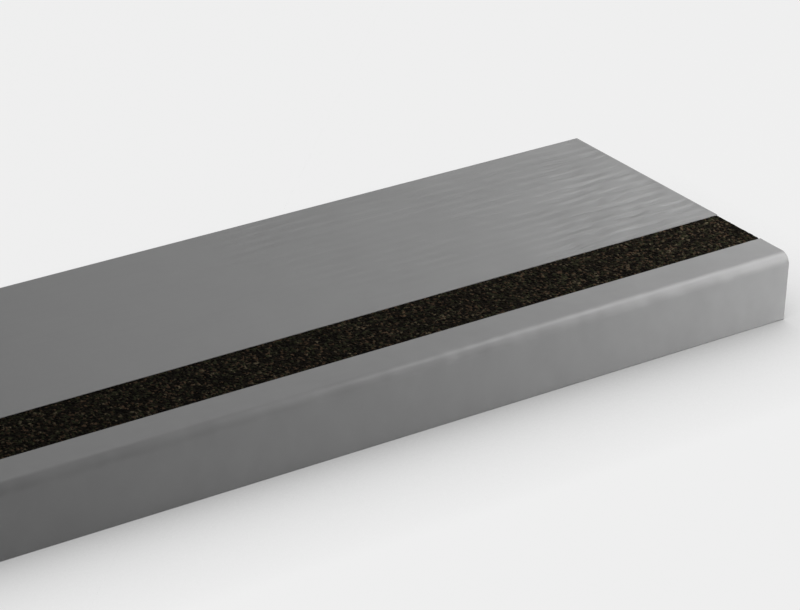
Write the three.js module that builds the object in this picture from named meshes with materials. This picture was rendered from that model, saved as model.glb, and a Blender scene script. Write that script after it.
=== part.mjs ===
// Stair tread cover with a rounded nose and a bonded grip strip.
// The cover is one extruded profile: a flat plate, a nose that rolls over the step's front edge,
// and a lip that hangs down in front of the riser. A shallow groove behind the nose runs out at
// both ends and takes the grip strip, whose face lies just below the walking surface.
//
// Millimetres, +Z up. X runs along the step and the nose faces -Y. Z = 0 is the underside of the
// plate, which beds on the step, and the origin lies there at mid-length and mid-depth.

import * as THREE from "three";

// Cover
const LENGTH = 900;
const DEPTH = 260; // front face of the lip to the back edge of the plate
const BOARD_THICKNESS = 8; // plate, nose and lip alike
const NOSE_DROP = 55; // walking surface to the lower edge of the lip
const INSIDE_RADIUS = 1; // inside of the rolled nose, on the side of the step
const LIP_EDGE_RADIUS = 1.2; // both lower edges of the lip
const BACK_EDGE_RADIUS = 0.8; // both edges along the back of the plate
const END_CHAMFER = 0.4; // arris taken off both sawn ends

// Grip strip and its groove
const STRIP_WIDTH = 50;
const STRIP_THICKNESS = 1.2;
const STRIP_CORNER_RADIUS = 2;
const STRIP_SETBACK = 34; // front face of the lip to the front edge of the strip
const STRIP_RECESS = 0.2; // strip's face below the walking surface
const BOND_LINE = 0.3; // adhesive between the strip and the floor of its groove
const SIDE_CLEARANCE = 0.3; // strip to each wall of the groove
const END_CLEARANCE = 1.2; // strip to each end of the cover

// Levels and lines that the pieces share
const FRONT = -DEPTH / 2;
const BACK = DEPTH / 2;
const WALKING_SURFACE = BOARD_THICKNESS;
const NOSE_RADIUS = INSIDE_RADIUS + BOARD_THICKNESS;
const LIP_BOTTOM = WALKING_SURFACE - NOSE_DROP;
const LIP_BACK = FRONT + BOARD_THICKNESS;
const STRIP_FRONT = FRONT + STRIP_SETBACK;
const STRIP_BACK = STRIP_FRONT + STRIP_WIDTH;
const STRIP_UNDERSIDE = WALKING_SURFACE - STRIP_RECESS - STRIP_THICKNESS;
const GROOVE_FLOOR = STRIP_UNDERSIDE - BOND_LINE;

// An arc between two straight edges is drawn with twice this many facets.
const HALF_ARC_FACETS = 6;

const COVER_FINISH = new THREE.MeshStandardMaterial({
  name: "grey_rigid_pvc",
  color: 0x8e8e8e,
  roughness: 0.5,
  metalness: 0,
});
const STRIP_FINISH = new THREE.MeshStandardMaterial({
  name: "black_mineral_grit",
  color: 0x1b1a17,
  roughness: 0.95,
  metalness: 0,
});

// Closed outline through corners { at: [u, v], radius }, each rounded by an arc of its radius.
function roundedOutline(corners) {
  const shape = new THREE.Shape();
  corners.forEach((corner, i) => {
    const here = new THREE.Vector2(...corner.at);
    const before = new THREE.Vector2(...corners.at(i - 1).at);
    const after = new THREE.Vector2(...corners[(i + 1) % corners.length].at);
    const towardsBefore = before.sub(here).normalize();
    const towardsAfter = after.sub(here).normalize();
    const radius = corner.radius ?? 0;
    if (radius === 0) {
      addPoint(shape, here, i === 0);
      return;
    }
    const halfAngle = 0.5 * Math.acos(towardsBefore.dot(towardsAfter));
    const toTangent = radius / Math.tan(halfAngle);
    const arcStart = here.clone().addScaledVector(towardsBefore, toTangent);
    const arcEnd = here.clone().addScaledVector(towardsAfter, toTangent);
    const inward = towardsBefore.clone().add(towardsAfter).normalize();
    const centre = here.clone().addScaledVector(inward, radius / Math.sin(halfAngle));
    const startAngle = arcStart.clone().sub(centre).angle();
    const endAngle = arcEnd.clone().sub(centre).angle();
    const clockwise = towardsBefore.cross(towardsAfter) > 0;
    addPoint(shape, arcStart, i === 0);
    shape.absarc(centre.x, centre.y, radius, startAngle, endAngle, clockwise);
  });
  shape.closePath();
  return shape;
}

function addPoint(shape, point, isFirst) {
  if (isFirst) {
    shape.moveTo(point.x, point.y);
  } else {
    shape.lineTo(point.x, point.y);
  }
}

// Cross-section of the cover, with Y to the right and Z up, from the back edge round over the top.
function coverSection() {
  return roundedOutline([
    { at: [BACK, 0], radius: BACK_EDGE_RADIUS },
    { at: [BACK, WALKING_SURFACE], radius: BACK_EDGE_RADIUS },
    { at: [STRIP_BACK + SIDE_CLEARANCE, WALKING_SURFACE] },
    { at: [STRIP_BACK + SIDE_CLEARANCE, GROOVE_FLOOR] },
    { at: [STRIP_FRONT - SIDE_CLEARANCE, GROOVE_FLOOR] },
    { at: [STRIP_FRONT - SIDE_CLEARANCE, WALKING_SURFACE] },
    { at: [FRONT, WALKING_SURFACE], radius: NOSE_RADIUS },
    { at: [FRONT, LIP_BOTTOM], radius: LIP_EDGE_RADIUS },
    { at: [LIP_BACK, LIP_BOTTOM], radius: LIP_EDGE_RADIUS },
    { at: [LIP_BACK, 0], radius: INSIDE_RADIUS },
  ]);
}

// The cover: its section drawn out along X and sawn off, with a small chamfer round each end.
function treadCover() {
  const geometry = new THREE.ExtrudeGeometry(coverSection(), {
    depth: LENGTH - 2 * END_CHAMFER,
    curveSegments: HALF_ARC_FACETS,
    bevelThickness: END_CHAMFER,
    bevelSize: END_CHAMFER,
    bevelOffset: -END_CHAMFER,
    bevelSegments: 1,
  });
  geometry.translate(0, 0, END_CHAMFER - LENGTH / 2);
  geometry.applyMatrix4(alongX());
  const mesh = new THREE.Mesh(geometry, COVER_FINISH);
  mesh.name = "tread_cover";
  return mesh;
}

// Turns a section drawn in XY and extruded along Z so that it stands in YZ and runs along X.
function alongX() {
  const sectionRight = new THREE.Vector3(0, 1, 0);
  const sectionUp = new THREE.Vector3(0, 0, 1);
  const extrusion = new THREE.Vector3(1, 0, 0);
  return new THREE.Matrix4().makeBasis(sectionRight, sectionUp, extrusion);
}

// The grip strip: a flat die-cut band with rounded corners, lying in the groove.
function gripStrip() {
  const halfLength = LENGTH / 2 - END_CLEARANCE;
  const halfWidth = STRIP_WIDTH / 2;
  const outline = roundedOutline([
    { at: [-halfLength, -halfWidth], radius: STRIP_CORNER_RADIUS },
    { at: [halfLength, -halfWidth], radius: STRIP_CORNER_RADIUS },
    { at: [halfLength, halfWidth], radius: STRIP_CORNER_RADIUS },
    { at: [-halfLength, halfWidth], radius: STRIP_CORNER_RADIUS },
  ]);
  const geometry = new THREE.ExtrudeGeometry(outline, {
    depth: STRIP_THICKNESS,
    curveSegments: HALF_ARC_FACETS,
    bevelEnabled: false,
  });
  const mesh = new THREE.Mesh(geometry, STRIP_FINISH);
  mesh.name = "grip_strip";
  mesh.position.set(0, STRIP_FRONT + halfWidth, STRIP_UNDERSIDE);
  return mesh;
}

const stairTreadTrim = new THREE.Group();
stairTreadTrim.name = "stair_tread_trim";
stairTreadTrim.add(treadCover(), gripStrip());

export default stairTreadTrim;
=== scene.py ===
"""Stair tread cover: an embossed plate with a rounded nose, and a black grit strip let into it.

Metres, +Z up. X runs along the step, the nose faces -Y, and Z = 0 is the underside of the plate.
"""

import math
import random

import bmesh
import bpy
from mathutils import Matrix, Vector, noise


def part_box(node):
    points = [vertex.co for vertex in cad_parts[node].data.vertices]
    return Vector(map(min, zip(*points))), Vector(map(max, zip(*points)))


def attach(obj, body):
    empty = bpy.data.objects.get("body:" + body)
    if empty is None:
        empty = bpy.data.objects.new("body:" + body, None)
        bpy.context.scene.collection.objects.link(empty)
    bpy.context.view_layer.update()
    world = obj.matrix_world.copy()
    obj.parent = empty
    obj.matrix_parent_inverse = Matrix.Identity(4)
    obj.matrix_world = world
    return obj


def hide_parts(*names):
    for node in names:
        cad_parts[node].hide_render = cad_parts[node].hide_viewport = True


bl_info = {
    "name": "Stair Tread Cover",
    "version": (1, 0, 0),
    "blender": (4, 5, 0),
    "location": "View3D > Sidebar > Stair Tread",
    "description": "Models an embossed stair tread cover with its grip strip, and sets its stage",
    "category": "Add Mesh",
}

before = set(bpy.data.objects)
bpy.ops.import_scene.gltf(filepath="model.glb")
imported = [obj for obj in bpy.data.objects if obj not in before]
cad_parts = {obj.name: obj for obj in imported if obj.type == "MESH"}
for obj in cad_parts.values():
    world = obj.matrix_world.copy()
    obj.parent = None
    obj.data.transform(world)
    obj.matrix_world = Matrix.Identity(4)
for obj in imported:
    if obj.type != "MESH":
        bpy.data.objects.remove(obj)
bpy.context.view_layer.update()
COVER_LOW, COVER_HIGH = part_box("tread_cover")
STRIP_LOW, STRIP_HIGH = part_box("grip_strip")

MM = 0.001

# Section of the cover
INSIDE_RADIUS = 1 * MM
LIP_EDGE_RADIUS = 1.2 * MM
BACK_EDGE_RADIUS = 0.8 * MM
END_CHAMFER = 0.4 * MM

# Grip strip in its groove
SIDE_CLEARANCE = 0.3 * MM
BOND_LINE = 0.3 * MM
STRIP_CORNER_RADIUS = 2 * MM

# Lines of the section, from the frame
WALKING_SURFACE = COVER_HIGH.z
UNDERSIDE = 0.0
LIP_BOTTOM = COVER_LOW.z
FRONT = COVER_LOW.y
BACK = COVER_HIGH.y
BOARD_THICKNESS = WALKING_SURFACE - UNDERSIDE
LIP_BACK = FRONT + BOARD_THICKNESS
NOSE_RADIUS = INSIDE_RADIUS + BOARD_THICKNESS
GROOVE_FRONT = STRIP_LOW.y - SIDE_CLEARANCE
GROOVE_BACK = STRIP_HIGH.y + SIDE_CLEARANCE
GROOVE_FLOOR = STRIP_LOW.z - BOND_LINE
RIGHT_END = COVER_HIGH.x

TOUCHING = 1e-6
RIGHT_ANGLE = math.pi / 2


def linear_from_hex(code):
    """Turns an sRGB colour such as #8c8c8c into linear red, green, blue and a full alpha."""
    channels = [int(code[i:i + 2], 16) / 255 for i in (1, 3, 5)]
    linear = [c / 12.92 if c <= 0.04045 else ((c + 0.055) / 1.055) ** 2.4 for c in channels]
    return (*linear, 1.0)


def smooth_step(low, high, value):
    """Rises from 0 at low to 1 at high, level at both ends."""
    t = min(1.0, max(0.0, (value - low) / (high - low)))
    return t * t * (3 - 2 * t)


# Settings

class CoverSettings(bpy.types.PropertyGroup):
    """Finish of the cover."""

    grain_depth: bpy.props.FloatProperty(
        name="Grain depth",
        description="Depth of the embossed wood grain where it is deepest, by the strip",
        default=1.15 * MM,
        min=0.0,
        max=1.5 * MM,
        precision=5,
        subtype="DISTANCE",
        unit="LENGTH",
    )
    grain_pitch: bpy.props.FloatProperty(
        name="Grain pitch",
        description="Distance from one grain line to the next, across the tread",
        default=11 * MM,
        min=4 * MM,
        max=20 * MM,
        precision=4,
        subtype="DISTANCE",
        unit="LENGTH",
    )
    ripple: bpy.props.FloatProperty(
        name="Nose ripple",
        description="Slight unevenness of the drawn nose and lip",
        default=0.34 * MM,
        min=0.0,
        max=0.4 * MM,
        precision=5,
        subtype="DISTANCE",
        unit="LENGTH",
    )
    colour: bpy.props.FloatVectorProperty(
        name="Colour",
        description="Colour of the rigid PVC",
        default=linear_from_hex("#8b8b8b"),
        size=4,
        min=0.0,
        max=1.0,
        subtype="COLOR",
    )


class StripSettings(bpy.types.PropertyGroup):
    """Finish of the grip strip."""

    grain_size: bpy.props.FloatProperty(
        name="Grain size",
        description="Width of one mineral grain as modelled, about twice the width taken as real",
        default=1.7 * MM,
        min=0.6 * MM,
        max=3 * MM,
        precision=5,
        subtype="DISTANCE",
        unit="LENGTH",
    )
    roughness_height: bpy.props.FloatProperty(
        name="Roughness height",
        description="Height from the pits between the grains to the top of the highest grain",
        default=0.8 * MM,
        min=0.0,
        max=1 * MM,
        precision=5,
        subtype="DISTANCE",
        unit="LENGTH",
    )
    colour: bpy.props.FloatVectorProperty(
        name="Colour",
        description="Colour of the resin between the grains",
        default=linear_from_hex("#040302"),
        size=4,
        min=0.0,
        max=1.0,
        subtype="COLOR",
    )


class StageSettings(bpy.types.PropertyGroup):
    """Lamps and floor."""

    side_power: bpy.props.FloatProperty(
        name="Side lamp",
        description="Power of the low soft lamp beyond the right end",
        default=17.1,
        min=0.0,
        subtype="POWER",
        unit="POWER",
    )
    end_power: bpy.props.FloatProperty(
        name="End lamp",
        description="Power of the high soft lamp above and beyond the right end",
        default=4.0,
        min=0.0,
        subtype="POWER",
        unit="POWER",
    )
    back_power: bpy.props.FloatProperty(
        name="Back lamp",
        description="Power of the wide soft lamp above and behind",
        default=5.8,
        min=0.0,
        subtype="POWER",
        unit="POWER",
    )
    corner_power: bpy.props.FloatProperty(
        name="Corner lamp",
        description="Power of the wide soft lamp behind the right end",
        default=2.3,
        min=0.0,
        subtype="POWER",
        unit="POWER",
    )
    world_strength: bpy.props.FloatProperty(
        name="Room light",
        description="Strength of the even light from all round",
        default=0.14,
        min=0.0,
        max=1.0,
        subtype="FACTOR",
    )


# Modelling helpers

def deselect_all():
    for item in bpy.context.selected_objects:
        item.select_set(False)


def new_grid(name, low, high, x_cells, y_cells):
    """Adds a flat grid between two corners, names it, and leaves it in edit mode."""
    deselect_all()
    bpy.ops.mesh.primitive_grid_add(x_subdivisions=x_cells, y_subdivisions=y_cells, size=1)
    grid = bpy.context.object
    grid.name = name
    grid.data.name = name
    bpy.ops.object.mode_set(mode="EDIT")
    bpy.ops.mesh.select_all(action="SELECT")
    size = high - low
    bpy.ops.transform.resize(value=(size.x, size.y, 1), center_override=(0, 0, 0))
    bpy.ops.transform.translate(value=(low + high) / 2)
    return grid


def select_vertices(piece, wanted):
    """Selects, in edit mode, the vertices that pass the test, with the edges between them."""
    bpy.ops.mesh.select_mode(type="VERT")
    bpy.ops.mesh.select_all(action="DESELECT")
    mesh = bmesh.from_edit_mesh(piece.data)
    for vertex in mesh.verts:
        if wanted(vertex):
            vertex.select = True
    mesh.select_flush(True)
    bmesh.update_edit_mesh(piece.data)


class SectionPen:
    """Carries the selected row of edges round a cross-section, by extruding and spinning it."""

    def __init__(self, y, z):
        self.y = y
        self.z = z

    def draw(self, y, z, rows=1):
        """Extrudes the row straight to (y, z) in equal steps."""
        step = Vector((0, (y - self.y) / rows, (z - self.z) / rows))
        for _ in range(rows):
            bpy.ops.mesh.extrude_region_move(TRANSFORM_OT_translate={"value": step})
        self.y = y
        self.z = z

    def roll(self, centre_y, centre_z, angle, rows):
        """Spins the row about a line along X; a positive angle turns +Y towards +Z."""
        bpy.ops.mesh.spin(
            steps=rows, angle=-angle, center=(0, centre_y, centre_z), axis=(1, 0, 0)
        )
        arm = Vector((0, self.y - centre_y, self.z - centre_z))
        arm.rotate(Matrix.Rotation(angle, 3, "X"))
        self.y = centre_y + arm.y
        self.z = centre_z + arm.z


def finish_mesh(piece, sharp_angle):
    """Points every face outwards and smooths the edges that turn by less than the angle."""
    bpy.ops.mesh.select_all(action="SELECT")
    bpy.ops.mesh.normals_make_consistent(inside=False)
    bpy.ops.object.mode_set(mode="OBJECT")
    deselect_all()
    piece.select_set(True)
    bpy.context.view_layer.objects.active = piece
    if sharp_angle:
        bpy.ops.object.shade_smooth_by_angle(angle=sharp_angle)
    else:
        bpy.ops.object.shade_flat()


def add_node(tree, kind, settings=None, inputs=None):
    """Adds a node, sets its properties, and fills its inputs with values or with links."""
    node = tree.nodes.new(kind)
    for name, value in (settings or {}).items():
        setattr(node, name, value)
    for name, value in (inputs or {}).items():
        if isinstance(value, bpy.types.NodeSocket):
            tree.links.new(value, node.inputs[name])
        else:
            node.inputs[name].default_value = value
    return node


def new_material(name):
    """Makes an empty node material and returns it with its output node."""
    material = bpy.data.materials.new(name)
    material.use_nodes = True
    material.node_tree.nodes.clear()
    output = add_node(material.node_tree, "ShaderNodeOutputMaterial")
    return material, output


# Cover

SMOOTH_BELOW = math.radians(30)
GRAIN_X_CELLS = 260
GRAIN_Y_CELLS = 230
DECK_ROWS = 8
NOSE_ROWS = 14
LIP_ROWS = 12
UNDERSIDE_ROWS = 8

# The lines of the grain wander, by a long and a short wave. Each pair is a length along X and along Y.
LONG_WANDER = 2.6 * MM
LONG_WANDER_SIZE = (80 * MM, 45 * MM)
SHORT_WANDER = 1.6 * MM
SHORT_WANDER_SIZE = (17 * MM, 14 * MM)

# Each line is steeper on its back side, and fades in places but never quite ends.
LINE_SKEW = 0.5
LONG_BREAK_LENGTH = 26 * MM
LONG_BREAK_STRIDE = 5.37
SHORT_BREAK_LENGTH = 9 * MM
SHORT_BREAK_STRIDE = 2.91
SHORT_BREAK_SHARE = 0.5
BREAK_LEVEL = -0.35
UNBROKEN_LEVEL = 0.25
BROKEN_LINE_SHARE = 0.15

# Finer lines lie in patches between the main ones.
FINE_GRAIN_SHARE = 0.35
FINE_LINES_PER_LINE = 2.6
FINE_WANDER_IN_LINES = 1.2
FINE_WANDER_SIZE = (28 * MM, 9 * MM)
FINE_PATCH_SIZE = (16 * MM, 7 * MM)
NO_FINE_LEVEL = -0.2
ALL_FINE_LEVEL = 0.4

# The grain is pressed deepest over a slanted patch at the right end, and faintly elsewhere.
DEEP_GRAIN_BY_STRIP = 130 * MM
DEEP_GRAIN_BY_BACK = 32 * MM
DEEP_GRAIN_STOP = BACK - 42 * MM
GRAIN_FADE_LENGTH = 62 * MM
BACK_GRAIN_SHARE = 0.6
FAINT_GRAIN_BY_STRIP = 0.3
FAINT_GRAIN_BY_BACK = 1.0
FAINT_GRAIN_FADE_START = 240 * MM
FAINT_GRAIN_FADE_STOP = 430 * MM
FAINTEST_GRAIN_SHARE = 0.2
FAINT_PATCH_SIZE = (120 * MM, 60 * MM)
GRAIN_MARGIN = 6 * MM
GRAIN_END_MARGIN = 9 * MM

# Ripple of the nose and lip, along X and round the section
RIPPLE_SIZE = (8 * MM, 5.5 * MM)
RIPPLE_MARGIN = 3 * MM

# Surface of the PVC
MOTTLE_SIZE = 35 * MM
STREAK_WIDTH = 0.9 * MM
STREAK_SQUEEZE = 0.06
STREAK_HEIGHT = 0.03 * MM
PEBBLE_WIDTH = 0.5 * MM
PEBBLE_HEIGHT = 0.02 * MM


def draw_cover_section(pen):
    """Takes the row from the back of the groove round the whole section to the plate's back."""
    nose_y = FRONT + NOSE_RADIUS
    nose_z = WALKING_SURFACE - NOSE_RADIUS
    lip_z = LIP_BOTTOM + LIP_EDGE_RADIUS
    back_y = BACK - BACK_EDGE_RADIUS
    pen.draw(GROOVE_BACK, GROOVE_FLOOR)
    pen.draw(GROOVE_FRONT, GROOVE_FLOOR)
    pen.draw(GROOVE_FRONT, WALKING_SURFACE)
    pen.draw(nose_y, WALKING_SURFACE, rows=DECK_ROWS)
    pen.roll(nose_y, nose_z, RIGHT_ANGLE, rows=NOSE_ROWS)
    pen.draw(FRONT, lip_z, rows=LIP_ROWS)
    pen.roll(FRONT + LIP_EDGE_RADIUS, lip_z, RIGHT_ANGLE, rows=4)
    pen.draw(LIP_BACK - LIP_EDGE_RADIUS, LIP_BOTTOM, rows=2)
    pen.roll(LIP_BACK - LIP_EDGE_RADIUS, lip_z, RIGHT_ANGLE, rows=4)
    pen.draw(LIP_BACK, UNDERSIDE - INSIDE_RADIUS, rows=4)
    pen.roll(LIP_BACK + INSIDE_RADIUS, UNDERSIDE - INSIDE_RADIUS, -RIGHT_ANGLE, rows=6)
    pen.draw(back_y, UNDERSIDE, rows=UNDERSIDE_ROWS)
    pen.roll(back_y, UNDERSIDE + BACK_EDGE_RADIUS, RIGHT_ANGLE, rows=3)
    pen.draw(BACK, WALKING_SURFACE - BACK_EDGE_RADIUS, rows=2)
    pen.roll(back_y, WALKING_SURFACE - BACK_EDGE_RADIUS, RIGHT_ANGLE, rows=3)


def close_end(piece, side):
    """Caps the open end on one side and eases its arris. side is 1 for the right, -1 for the left."""
    select_vertices(piece, lambda vertex: vertex.is_boundary and vertex.co.x * side > 0)
    bpy.ops.mesh.edge_face_add()
    bpy.ops.mesh.normals_make_consistent(inside=False)
    bpy.ops.mesh.inset(thickness=END_CHAMFER, depth=END_CHAMFER, use_even_offset=True)


def noise_at(x, y, size, layer):
    """Smooth noise from -1 to 1 that changes over the size. Each layer is a different noise."""
    return noise.noise(Vector((x / size[0], y / size[1], layer)))


def half_wave(phase):
    """A cosine raised to run from 0 to 1."""
    return 0.5 + 0.5 * math.cos(phase)


def main_line(x, line):
    """How deep the main lines are at a place, from 0 to 1. line counts the lines across the plate."""
    phase = 2 * math.pi * line
    groove = half_wave(phase + LINE_SKEW * (1 - math.cos(phase)))
    number = math.floor(line + 0.5)
    # The strides keep neighbouring lines apart in the noise, so each breaks in places of its own.
    breaks = noise.noise(Vector((x / LONG_BREAK_LENGTH, number * LONG_BREAK_STRIDE, 1.9)))
    short = noise.noise(Vector((x / SHORT_BREAK_LENGTH, number * SHORT_BREAK_STRIDE, 6.3)))
    breaks += SHORT_BREAK_SHARE * short
    unbroken = smooth_step(BREAK_LEVEL, UNBROKEN_LEVEL, breaks)
    return groove * (BROKEN_LINE_SHARE + (1 - BROKEN_LINE_SHARE) * unbroken)


def fine_line(x, y, line):
    """How deep the fine lines are at a place, from 0 to 1."""
    wander = FINE_WANDER_IN_LINES * noise_at(x, y, FINE_WANDER_SIZE, layer=5.5)
    wave = FINE_LINES_PER_LINE * line + wander
    patch = smooth_step(NO_FINE_LEVEL, ALL_FINE_LEVEL, noise_at(x, y, FINE_PATCH_SIZE, layer=2.2))
    return half_wave(2 * math.pi * wave) ** 2 * patch


def grain_strength(x, y):
    """Share of the full depth at a place: the slanted patch, the faint rest, and the plain margins."""
    from_right = RIGHT_END - x
    back_share = (y - GROOVE_BACK) / (BACK - GROOVE_BACK)
    slant = (1 - back_share) ** 2
    deep = DEEP_GRAIN_BY_BACK + (DEEP_GRAIN_BY_STRIP - DEEP_GRAIN_BY_BACK) * slant
    strong = 1 - smooth_step(deep, deep + GRAIN_FADE_LENGTH, from_right)
    strong *= 1 - smooth_step(DEEP_GRAIN_STOP, BACK, y)
    faint = FAINT_GRAIN_BY_STRIP + (FAINT_GRAIN_BY_BACK - FAINT_GRAIN_BY_STRIP) * back_share
    far = smooth_step(FAINT_GRAIN_FADE_START, FAINT_GRAIN_FADE_STOP, from_right)
    faint *= 1 - (1 - FAINTEST_GRAIN_SHARE) * far
    faint *= 0.5 + 0.5 * noise_at(x, y, FAINT_PATCH_SIZE, layer=4.4)
    strength = strong + (1 - strong) * faint
    strength *= 1 - (1 - BACK_GRAIN_SHARE) * back_share
    edges = smooth_step(0, GRAIN_MARGIN, min(y - GROOVE_BACK, BACK - y))
    edges *= smooth_step(0, GRAIN_END_MARGIN, min(from_right, x - COVER_LOW.x))
    return strength * edges


def grain_depth_at(x, y, depth, pitch):
    """Depth of the embossed grain at a place on the plate."""
    wander = LONG_WANDER * noise_at(x, y, LONG_WANDER_SIZE, layer=3.1)
    wander += SHORT_WANDER * noise_at(x, y, SHORT_WANDER_SIZE, layer=8.7)
    line = (y + wander) / pitch
    pressed = main_line(x, line) * (1 - FINE_GRAIN_SHARE) + fine_line(x, y, line) * FINE_GRAIN_SHARE
    return depth * pressed * grain_strength(x, y)


def ripple_depth_at(x, y, z, depth):
    """Depth of the ripple at a place on the deck before the strip, the nose or the lip."""
    swell = 0.5 + 0.5 * noise_at(x, z - y, RIPPLE_SIZE, layer=0.4)
    edges = smooth_step(0, RIPPLE_MARGIN, min(z - LIP_BOTTOM, GROOVE_FRONT - y))
    return depth * swell * edges


def emboss_cover(piece, settings):
    """Presses the grain into the plate behind the groove, and ripples the nose and lip inwards."""
    mesh = piece.data
    moved = []
    for vertex in mesh.vertices:
        x, y, z = vertex.co
        on_plate = y > GROOVE_BACK + TOUCHING and abs(z - WALKING_SURFACE) < TOUCHING
        # The outer faces look up, forwards or between the two. The inner ones look back or down.
        on_nose = y < GROOVE_FRONT - TOUCHING and vertex.normal.z - vertex.normal.y > 0.5
        if on_plate:
            depth = grain_depth_at(x, y, settings.grain_depth, settings.grain_pitch)
            moved.append((vertex.index, Vector((0, 0, -depth))))
        elif on_nose:
            depth = ripple_depth_at(x, y, z, settings.ripple)
            moved.append((vertex.index, -vertex.normal * depth))
    for index, shift in moved:
        mesh.vertices[index].co += shift
    mesh.update()


def rigid_pvc(colour):
    """Extruded rigid PVC, through-coloured grey: satin, with a faint mottle and fine drawn streaks."""
    material, output = new_material("extruded_rigid_pvc_grey")
    tree = material.node_tree
    place = add_node(tree, "ShaderNodeTexCoord").outputs["Object"]
    mottle = add_node(
        tree, "ShaderNodeTexNoise", None, {"Vector": place, "Scale": 1 / MOTTLE_SIZE, "Detail": 3.0}
    )
    shade = add_node(
        tree,
        "ShaderNodeMapRange",
        None,
        {"Value": mottle.outputs["Fac"], "From Min": 0.3, "From Max": 0.7, "To Min": 0.96, "To Max": 1.04},
    )
    tinted = add_node(
        tree,
        "ShaderNodeVectorMath",
        {"operation": "SCALE"},
        {0: tuple(colour)[:3], "Scale": shade.outputs["Result"]},
    )
    stretched = add_node(
        tree, "ShaderNodeMapping", None, {"Vector": place, "Scale": (STREAK_SQUEEZE, 1.0, 1.0)}
    )
    streaks = add_node(
        tree,
        "ShaderNodeTexNoise",
        None,
        {"Vector": stretched.outputs["Vector"], "Scale": 1 / STREAK_WIDTH, "Detail": 2.0},
    )
    pebble = add_node(
        tree, "ShaderNodeTexNoise", None, {"Vector": place, "Scale": 1 / PEBBLE_WIDTH, "Detail": 2.0}
    )
    streak_bump = add_node(
        tree,
        "ShaderNodeBump",
        None,
        {"Strength": 0.25, "Distance": STREAK_HEIGHT, "Height": streaks.outputs["Fac"]},
    )
    pebble_bump = add_node(
        tree,
        "ShaderNodeBump",
        None,
        {
            "Strength": 0.35,
            "Distance": PEBBLE_HEIGHT,
            "Height": pebble.outputs["Fac"],
            "Normal": streak_bump.outputs["Normal"],
        },
    )
    gloss = add_node(
        tree,
        "ShaderNodeMapRange",
        None,
        {"Value": mottle.outputs["Fac"], "From Min": 0.3, "From Max": 0.7, "To Min": 0.36, "To Max": 0.44},
    )
    shader = add_node(
        tree,
        "ShaderNodeBsdfPrincipled",
        None,
        {
            "Base Color": tinted.outputs["Vector"],
            "Roughness": gloss.outputs["Result"],
            "IOR": 1.53,
            "Normal": pebble_bump.outputs["Normal"],
        },
    )
    tree.links.new(shader.outputs["BSDF"], output.inputs["Surface"])
    return material


class TREAD_OT_model_cover(bpy.types.Operator):
    """Models the embossed cover round its section and gives it its finish"""

    bl_idname = "tread.model_cover"
    bl_label = "Model the cover"
    bl_options = {"REGISTER", "UNDO"}

    def execute(self, context):
        settings = context.scene.tread_cover
        half_length = RIGHT_END - END_CHAMFER
        low = Vector((-half_length, GROOVE_BACK, WALKING_SURFACE))
        high = Vector((half_length, BACK - BACK_EDGE_RADIUS, WALKING_SURFACE))
        cover = new_grid("embossed_cover", low, high, GRAIN_X_CELLS, GRAIN_Y_CELLS)
        select_vertices(cover, lambda vertex: vertex.co.y < GROOVE_BACK + TOUCHING)
        pen = SectionPen(GROOVE_BACK, WALKING_SURFACE)
        draw_cover_section(pen)
        if abs(pen.y - high.y) > TOUCHING or abs(pen.z - high.z) > TOUCHING:
            raise RuntimeError("the cover's section doesn't close")
        bpy.ops.mesh.select_all(action="SELECT")
        bpy.ops.mesh.remove_doubles(threshold=TOUCHING)
        for side in (1, -1):
            close_end(cover, side)
        finish_mesh(cover, SMOOTH_BELOW)
        emboss_cover(cover, settings)
        cover.data.materials.append(rigid_pvc(settings.colour))
        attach(cover, "root")
        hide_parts("tread_cover")
        return {"FINISHED"}


# Grip strip

# Real grains are taken as about 0.8 mm wide, which isn't measured. They would not show in the
# render, so they are drawn coarser.
CELLS_PER_GRAIN = 2
# Distance from a grain's middle to its foot, in grain widths
GRAIN_REACH = 0.75
# Height of the lowest grain as a share of the highest
LOWEST_GRAIN = 0.15
GRAIN_TOP_CLEARANCE = 0.02 * MM
# The border is let down less than the rest, so the strip's outline stays clean.
EDGE_DROP_SHARE = 0.4
# How far a vertex is thrown from its place, as a share of a cell
INNER_SCATTER = 0.32
EDGE_SCATTER = 0.1
SCATTER_SEED = 41
HEIGHT_SHUFFLE = 97
TONE_SHUFFLE = 7.0
GRAIN_NUMBER = "grain_number"
GRIT_PATCH_SIZE = 5 * MM
FACET_WIDTH = 0.35 * MM
FACET_HEIGHT = 0.08 * MM


def round_strip_corner(x, y):
    """Moves a point of the rectangle so that the rectangle's corners become quarter rounds."""
    middle_y = (STRIP_LOW.y + STRIP_HIGH.y) / 2
    centre_x = STRIP_HIGH.x - STRIP_CORNER_RADIUS
    centre_y = (STRIP_HIGH.y - STRIP_LOW.y) / 2 - STRIP_CORNER_RADIUS
    across = (abs(x) - centre_x) / STRIP_CORNER_RADIUS
    along = (abs(y - middle_y) - centre_y) / STRIP_CORNER_RADIUS
    if across <= 0 or along <= 0:
        return x, y
    new_across = across * math.sqrt(1 - along * along / 2)
    new_along = along * math.sqrt(1 - across * across / 2)
    new_x = math.copysign(centre_x + new_across * STRIP_CORNER_RADIUS, x)
    new_y = middle_y + math.copysign(centre_y + new_along * STRIP_CORNER_RADIUS, y - middle_y)
    return new_x, new_y


def grain_at(x, y, grain_size):
    """Distance from the middle of the nearest grain, in grain widths, and that grain's own number."""
    distances, middles = noise.voronoi(Vector((x, y, 0)) / grain_size)
    # Cell noise is even within a unit cell, so the middles are first spread over many cells.
    return distances[0], abs(noise.cell(HEIGHT_SHUFFLE * middles[0]))


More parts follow.
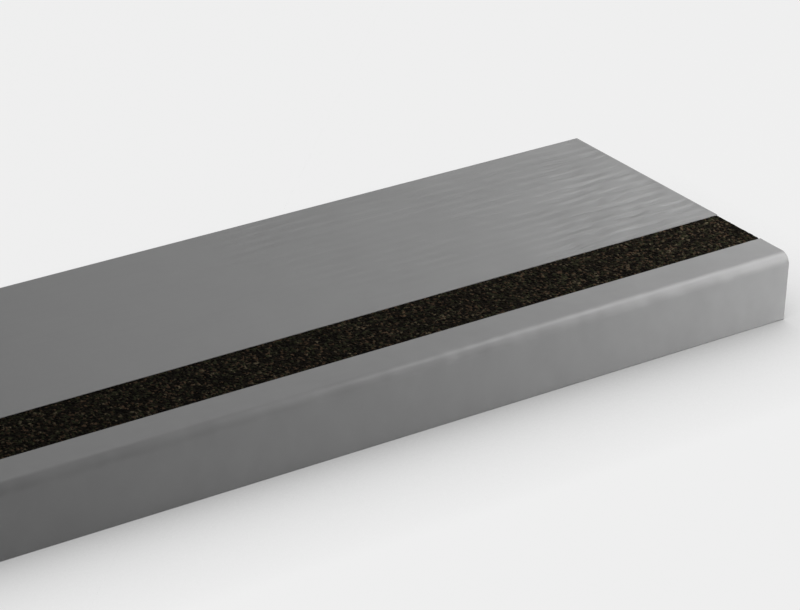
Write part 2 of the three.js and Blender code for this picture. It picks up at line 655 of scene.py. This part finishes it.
def roughen_strip(piece, settings):
    """Turns the flat face into rounded mineral grains of uneven height and outline."""
    draw = random.Random(SCATTER_SEED)
    cell = settings.grain_size / CELLS_PER_GRAIN
    height = settings.roughness_height
    top = WALKING_SURFACE - GRAIN_TOP_CLEARANCE
    for vertex in piece.data.vertices:
        if vertex.co.z < STRIP_HIGH.z - TOUCHING:
            continue
        x, y, _ = vertex.co
        on_end = abs(abs(x) - STRIP_HIGH.x) < TOUCHING
        on_side = y - STRIP_LOW.y < TOUCHING or STRIP_HIGH.y - y < TOUCHING
        on_border = on_end or on_side
        scatter = EDGE_SCATTER if on_border else INNER_SCATTER
        x, y = round_strip_corner(x, y)
        x += cell * scatter * draw.uniform(-1, 1)
        y += cell * scatter * draw.uniform(-1, 1)
        distance, number = grain_at(x, y, settings.grain_size)
        dome = 1 - min(1, distance / GRAIN_REACH) ** 2
        drop = height * (1 - dome * (LOWEST_GRAIN + (1 - LOWEST_GRAIN) * number))
        if on_border:
            drop *= EDGE_DROP_SHARE
        vertex.co = (x, y, top - drop)
    piece.data.update()


def tint_grains(piece, grain_size):
    """Gives every face the number of the grain that it lies on, for the material to read."""
    numbers = piece.data.attributes.new(GRAIN_NUMBER, "FLOAT", "FACE")
    for face in piece.data.polygons:
        x, y, _ = face.center
        _, number = grain_at(x, y, grain_size)
        # The number also sets the height, so it is shuffled for the tone.
        numbers.data[face.index].value = (TONE_SHUFFLE * number) % 1


def mineral_grit(colour):
    """Black mineral grit in resin: rough dark grains, with scattered brown, olive and grey ones."""
    material, output = new_material("mineral_grit_in_black_resin")
    tree = material.node_tree
    place = add_node(tree, "ShaderNodeTexCoord").outputs["Object"]
    number = add_node(tree, "ShaderNodeAttribute", {"attribute_name": GRAIN_NUMBER})
    ramp = add_node(tree, "ShaderNodeValToRGB", None, {"Fac": number.outputs["Fac"]})
    ramp.color_ramp.interpolation = "CONSTANT"
    stops = [
        (0.0, tuple(colour)),
        (0.30, linear_from_hex("#0b0906")),
        (0.50, linear_from_hex("#1a1610")),
        (0.72, linear_from_hex("#27281b")),
        (0.88, linear_from_hex("#413428")),
        (0.97, linear_from_hex("#4c4537")),
    ]
    elements = ramp.color_ramp.elements
    elements[0].position, elements[0].color = stops[0]
    elements[1].position, elements[1].color = stops[1]
    for position, stop_colour in stops[2:]:
        elements.new(position).color = stop_colour
    patches = add_node(
        tree, "ShaderNodeTexNoise", None, {"Vector": place, "Scale": 1 / GRIT_PATCH_SIZE, "Detail": 1.0}
    )
    patch_tone = add_node(
        tree,
        "ShaderNodeMapRange",
        None,
        {"Value": patches.outputs["Fac"], "From Min": 0.3, "From Max": 0.7, "To Min": 0.6, "To Max": 1.4},
    )
    grain_colour = add_node(
        tree,
        "ShaderNodeVectorMath",
        {"operation": "SCALE"},
        {0: ramp.outputs["Color"], "Scale": patch_tone.outputs["Result"]},
    )
    facets = add_node(
        tree, "ShaderNodeTexNoise", None, {"Vector": place, "Scale": 1 / FACET_WIDTH, "Detail": 1.0}
    )
    bump = add_node(
        tree,
        "ShaderNodeBump",
        None,
        {"Strength": 0.6, "Distance": FACET_HEIGHT, "Height": facets.outputs["Fac"]},
    )
    # The pits between the grains swallow most of the sheen, so the specular level is low.
    shader = add_node(
        tree,
        "ShaderNodeBsdfPrincipled",
        None,
        {
            "Base Color": grain_colour.outputs["Vector"],
            "Roughness": 0.62,
            "IOR": 1.55,
            "Specular IOR Level": 0.02,
            "Specular Tint": linear_from_hex("#ffdcae"),
            "Normal": bump.outputs["Normal"],
        },
    )
    tree.links.new(shader.outputs["BSDF"], output.inputs["Surface"])
    return material


class TREAD_OT_model_grip_strip(bpy.types.Operator):
    """Models the grit strip in its groove and gives it its finish"""

    bl_idname = "tread.model_grip_strip"
    bl_label = "Model the grip strip"
    bl_options = {"REGISTER", "UNDO"}

    def execute(self, context):
        settings = context.scene.tread_strip
        size = STRIP_HIGH - STRIP_LOW
        low = Vector((STRIP_LOW.x, STRIP_LOW.y, STRIP_HIGH.z))
        x_cells = round(CELLS_PER_GRAIN * size.x / settings.grain_size)
        y_cells = round(CELLS_PER_GRAIN * size.y / settings.grain_size)
        strip = new_grid("gritted_strip", low, STRIP_HIGH, x_cells, y_cells)
        select_vertices(strip, lambda vertex: vertex.is_boundary)
        bpy.ops.mesh.extrude_region_move(TRANSFORM_OT_translate={"value": (0, 0, -size.z)})
        bpy.ops.mesh.edge_face_add()
        finish_mesh(strip, None)
        roughen_strip(strip, settings)
        tint_grains(strip, settings.grain_size)
        strip.data.materials.append(mineral_grit(settings.colour))
        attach(strip, "root")
        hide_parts("grip_strip")
        return {"FINISHED"}


# Stage

BACKDROP_COLOUR = "#efefef"
BOUNCE_COLOUR = "#f0f0f0"
FLOOR_SIZE = 60.0
# The camera sees the floor mostly as a glow with a painted shadow round the object, and for the small rest
# as real matt light and shadow.
FLOOR_PAINTED_GLOW_SHARE = 0.995
PAINTED_SHADOW_REACH = 0.12

# The camera looks from the left and in front, through a long lens.
CAMERA_FROM_NOSE_END = Vector((-1.596, -1.666, 1.059))
CAMERA_YAW = math.radians(36.48)
CAMERA_PITCH = math.radians(25.95)
CAMERA_ROLL = math.radians(2.10)
CAMERA_LENS = 150.45
SENSOR_WIDTH = 36.0

# Two lamps stand close to the right end, so their light falls off along the step.
SIDE_LAMP_PLACE = Vector((1.15, -0.28, 0.18))
SIDE_LAMP_SIZE = 0.45
END_LAMP_PLACE = Vector((0.90, -0.13, 0.787))
END_LAMP_SIZE = 0.45
BACK_LAMP_PLACE = Vector((0.3, 1.6, 1.6))
BACK_LAMP_SIZE = 1.6
CORNER_LAMP_PLACE = Vector((1.2, 1.2, 1.2))
CORNER_LAMP_SIZE = 1.2
LAMP_TARGET = Vector((0.25, -0.05, 0))


def studio_floor():
    """Pale floor that shows the camera an even glow, darkened by a painted shadow round the object from
    ambient occlusion, over a small share of real matt light and shadow.
    """
    material, output = new_material("pale_floor_with_painted_shadow")
    tree = material.node_tree
    pale = linear_from_hex(BACKDROP_COLOUR)
    lit = add_node(tree, "ShaderNodeBsdfDiffuse", None, {"Color": pale})
    # Painted shadow: ambient occlusion darkens the glowing pale tone near the object.
    painted_shadow = add_node(
        tree,
        "ShaderNodeAmbientOcclusion",
        {"samples": 8},
        {"Color": pale, "Distance": PAINTED_SHADOW_REACH},
    )
    glow_with_painted_shadow = add_node(tree, "ShaderNodeEmission", None, {"Color": painted_shadow.outputs["Color"]})
    seen = add_node(
        tree,
        "ShaderNodeMixShader",
        None,
        {0: FLOOR_PAINTED_GLOW_SHARE, 1: lit.outputs["BSDF"], 2: glow_with_painted_shadow.outputs["Emission"]},
    )
    bounced = add_node(tree, "ShaderNodeBsdfDiffuse", None, {"Color": linear_from_hex(BOUNCE_COLOUR)})
    rays = add_node(tree, "ShaderNodeLightPath")
    direct = add_node(
        tree,
        "ShaderNodeMath",
        {"operation": "MAXIMUM"},
        {0: rays.outputs["Is Camera Ray"], 1: rays.outputs["Is Transmission Ray"]},
    )
    shown = add_node(
        tree,
        "ShaderNodeMath",
        {"operation": "MAXIMUM"},
        {0: direct.outputs["Value"], 1: rays.outputs["Is Glossy Ray"]},
    )
    shader = add_node(
        tree,
        "ShaderNodeMixShader",
        None,
        {0: shown.outputs["Value"], 1: bounced.outputs["BSDF"], 2: seen.outputs["Shader"]},
    )
    tree.links.new(shader.outputs["Shader"], output.inputs["Surface"])
    return material


def lay_floor():
    deselect_all()
    bpy.ops.mesh.primitive_plane_add(size=FLOOR_SIZE, location=(0, 0, LIP_BOTTOM))
    floor = bpy.context.object
    floor.name = "studio_floor"
    floor.data.materials.append(studio_floor())


def set_world(strength):
    """Lights the room evenly, and shows the camera the same pale tone as the floor."""
    world = bpy.data.worlds.new("studio_room")
    world.use_nodes = True
    tree = world.node_tree
    tree.nodes.clear()
    pale = linear_from_hex(BACKDROP_COLOUR)
    room = add_node(
        tree, "ShaderNodeBackground", None, {"Color": (1.0, 1.0, 1.0, 1.0), "Strength": strength}
    )
    backdrop = add_node(tree, "ShaderNodeBackground", None, {"Color": pale, "Strength": 1.0})
    rays = add_node(tree, "ShaderNodeLightPath")
    shader = add_node(
        tree,
        "ShaderNodeMixShader",
        None,
        {
            0: rays.outputs["Is Camera Ray"],
            1: room.outputs["Background"],
            2: backdrop.outputs["Background"],
        },
    )
    output = add_node(tree, "ShaderNodeOutputWorld")
    tree.links.new(shader.outputs["Shader"], output.inputs["Surface"])
    bpy.context.scene.world = world


def hang_lamp(name, place, size, power):
    """Adds a square soft lamp that faces the tread and isn't seen by the camera."""
    data = bpy.data.lights.new(name, "AREA")
    data.shape = "SQUARE"
    data.size = size
    data.energy = power
    lamp = bpy.data.objects.new(name, data)
    lamp.location = place
    lamp.rotation_mode = "QUATERNION"
    lamp.rotation_quaternion = (LAMP_TARGET - place).to_track_quat("-Z", "Y")
    lamp.visible_camera = False
    bpy.context.scene.collection.objects.link(lamp)
    return lamp


def set_camera(nose_end):
    """Places the camera by its yaw to the right, its pitch down and its roll."""
    forward = Vector(
        (
            math.sin(CAMERA_YAW) * math.cos(CAMERA_PITCH),
            math.cos(CAMERA_YAW) * math.cos(CAMERA_PITCH),
            -math.sin(CAMERA_PITCH),
        )
    )
    level = Vector((math.cos(CAMERA_YAW), -math.sin(CAMERA_YAW), 0))
    upright = level.cross(forward)
    right = level * math.cos(CAMERA_ROLL) + upright * math.sin(CAMERA_ROLL)
    up = upright * math.cos(CAMERA_ROLL) - level * math.sin(CAMERA_ROLL)
    data = bpy.data.cameras.new("studio_camera")
    data.lens = CAMERA_LENS
    data.sensor_width = SENSOR_WIDTH
    data.clip_start = 0.1
    data.clip_end = 2 * FLOOR_SIZE
    camera = bpy.data.objects.new("studio_camera", data)
    turn = Matrix((right, up, -forward)).transposed()
    camera.matrix_world = Matrix.Translation(nose_end + CAMERA_FROM_NOSE_END) @ turn.to_4x4()
    bpy.context.scene.collection.objects.link(camera)
    bpy.context.scene.camera = camera


class TREAD_OT_set_stage(bpy.types.Operator):
    """Lays the floor, hangs the lamps and places the camera"""

    bl_idname = "tread.set_stage"
    bl_label = "Set the stage"
    bl_options = {"REGISTER", "UNDO"}

    def execute(self, context):
        settings = context.scene.tread_stage
        nose_end = Vector((RIGHT_END, FRONT, WALKING_SURFACE))
        lay_floor()
        set_world(settings.world_strength)
        hang_lamp("side_lamp", SIDE_LAMP_PLACE, SIDE_LAMP_SIZE, settings.side_power)
        hang_lamp("end_lamp", END_LAMP_PLACE, END_LAMP_SIZE, settings.end_power)
        hang_lamp("back_lamp", BACK_LAMP_PLACE, BACK_LAMP_SIZE, settings.back_power)
        hang_lamp("corner_lamp", CORNER_LAMP_PLACE, CORNER_LAMP_SIZE, settings.corner_power)
        set_camera(nose_end)
        context.scene.view_settings.view_transform = "Standard"
        return {"FINISHED"}


# Panel and registration

class TREAD_PT_panel(bpy.types.Panel):
    """Settings and steps of the stair tread cover"""

    bl_idname = "TREAD_PT_panel"
    bl_label = "Stair Tread"
    bl_space_type = "VIEW_3D"
    bl_region_type = "UI"
    bl_category = "Stair Tread"

    def draw(self, context):
        layout = self.layout
        scene = context.scene
        for settings, names, operator in (
            (scene.tread_cover, ("grain_depth", "grain_pitch", "ripple", "colour"), TREAD_OT_model_cover),
            (scene.tread_strip, ("grain_size", "roughness_height", "colour"), TREAD_OT_model_grip_strip),
            (
                scene.tread_stage,
                ("side_power", "end_power", "back_power", "corner_power", "world_strength"),
                TREAD_OT_set_stage,
            ),
        ):
            box = layout.box()
            for name in names:
                box.prop(settings, name)
            box.operator(operator.bl_idname)


CLASSES = (
    CoverSettings,
    StripSettings,
    StageSettings,
    TREAD_OT_model_cover,
    TREAD_OT_model_grip_strip,
    TREAD_OT_set_stage,
    TREAD_PT_panel,
)


def register():
    for item in CLASSES:
        bpy.utils.register_class(item)
    bpy.types.Scene.tread_cover = bpy.props.PointerProperty(type=CoverSettings)
    bpy.types.Scene.tread_strip = bpy.props.PointerProperty(type=StripSettings)
    bpy.types.Scene.tread_stage = bpy.props.PointerProperty(type=StageSettings)


def unregister():
    del bpy.types.Scene.tread_stage
    del bpy.types.Scene.tread_strip
    del bpy.types.Scene.tread_cover
    for item in reversed(CLASSES):
        bpy.utils.unregister_class(item)


def main():
    register()
    bpy.ops.tread.model_cover()
    bpy.ops.tread.model_grip_strip()
    bpy.ops.tread.set_stage()


if __name__ == "__main__":
    main()
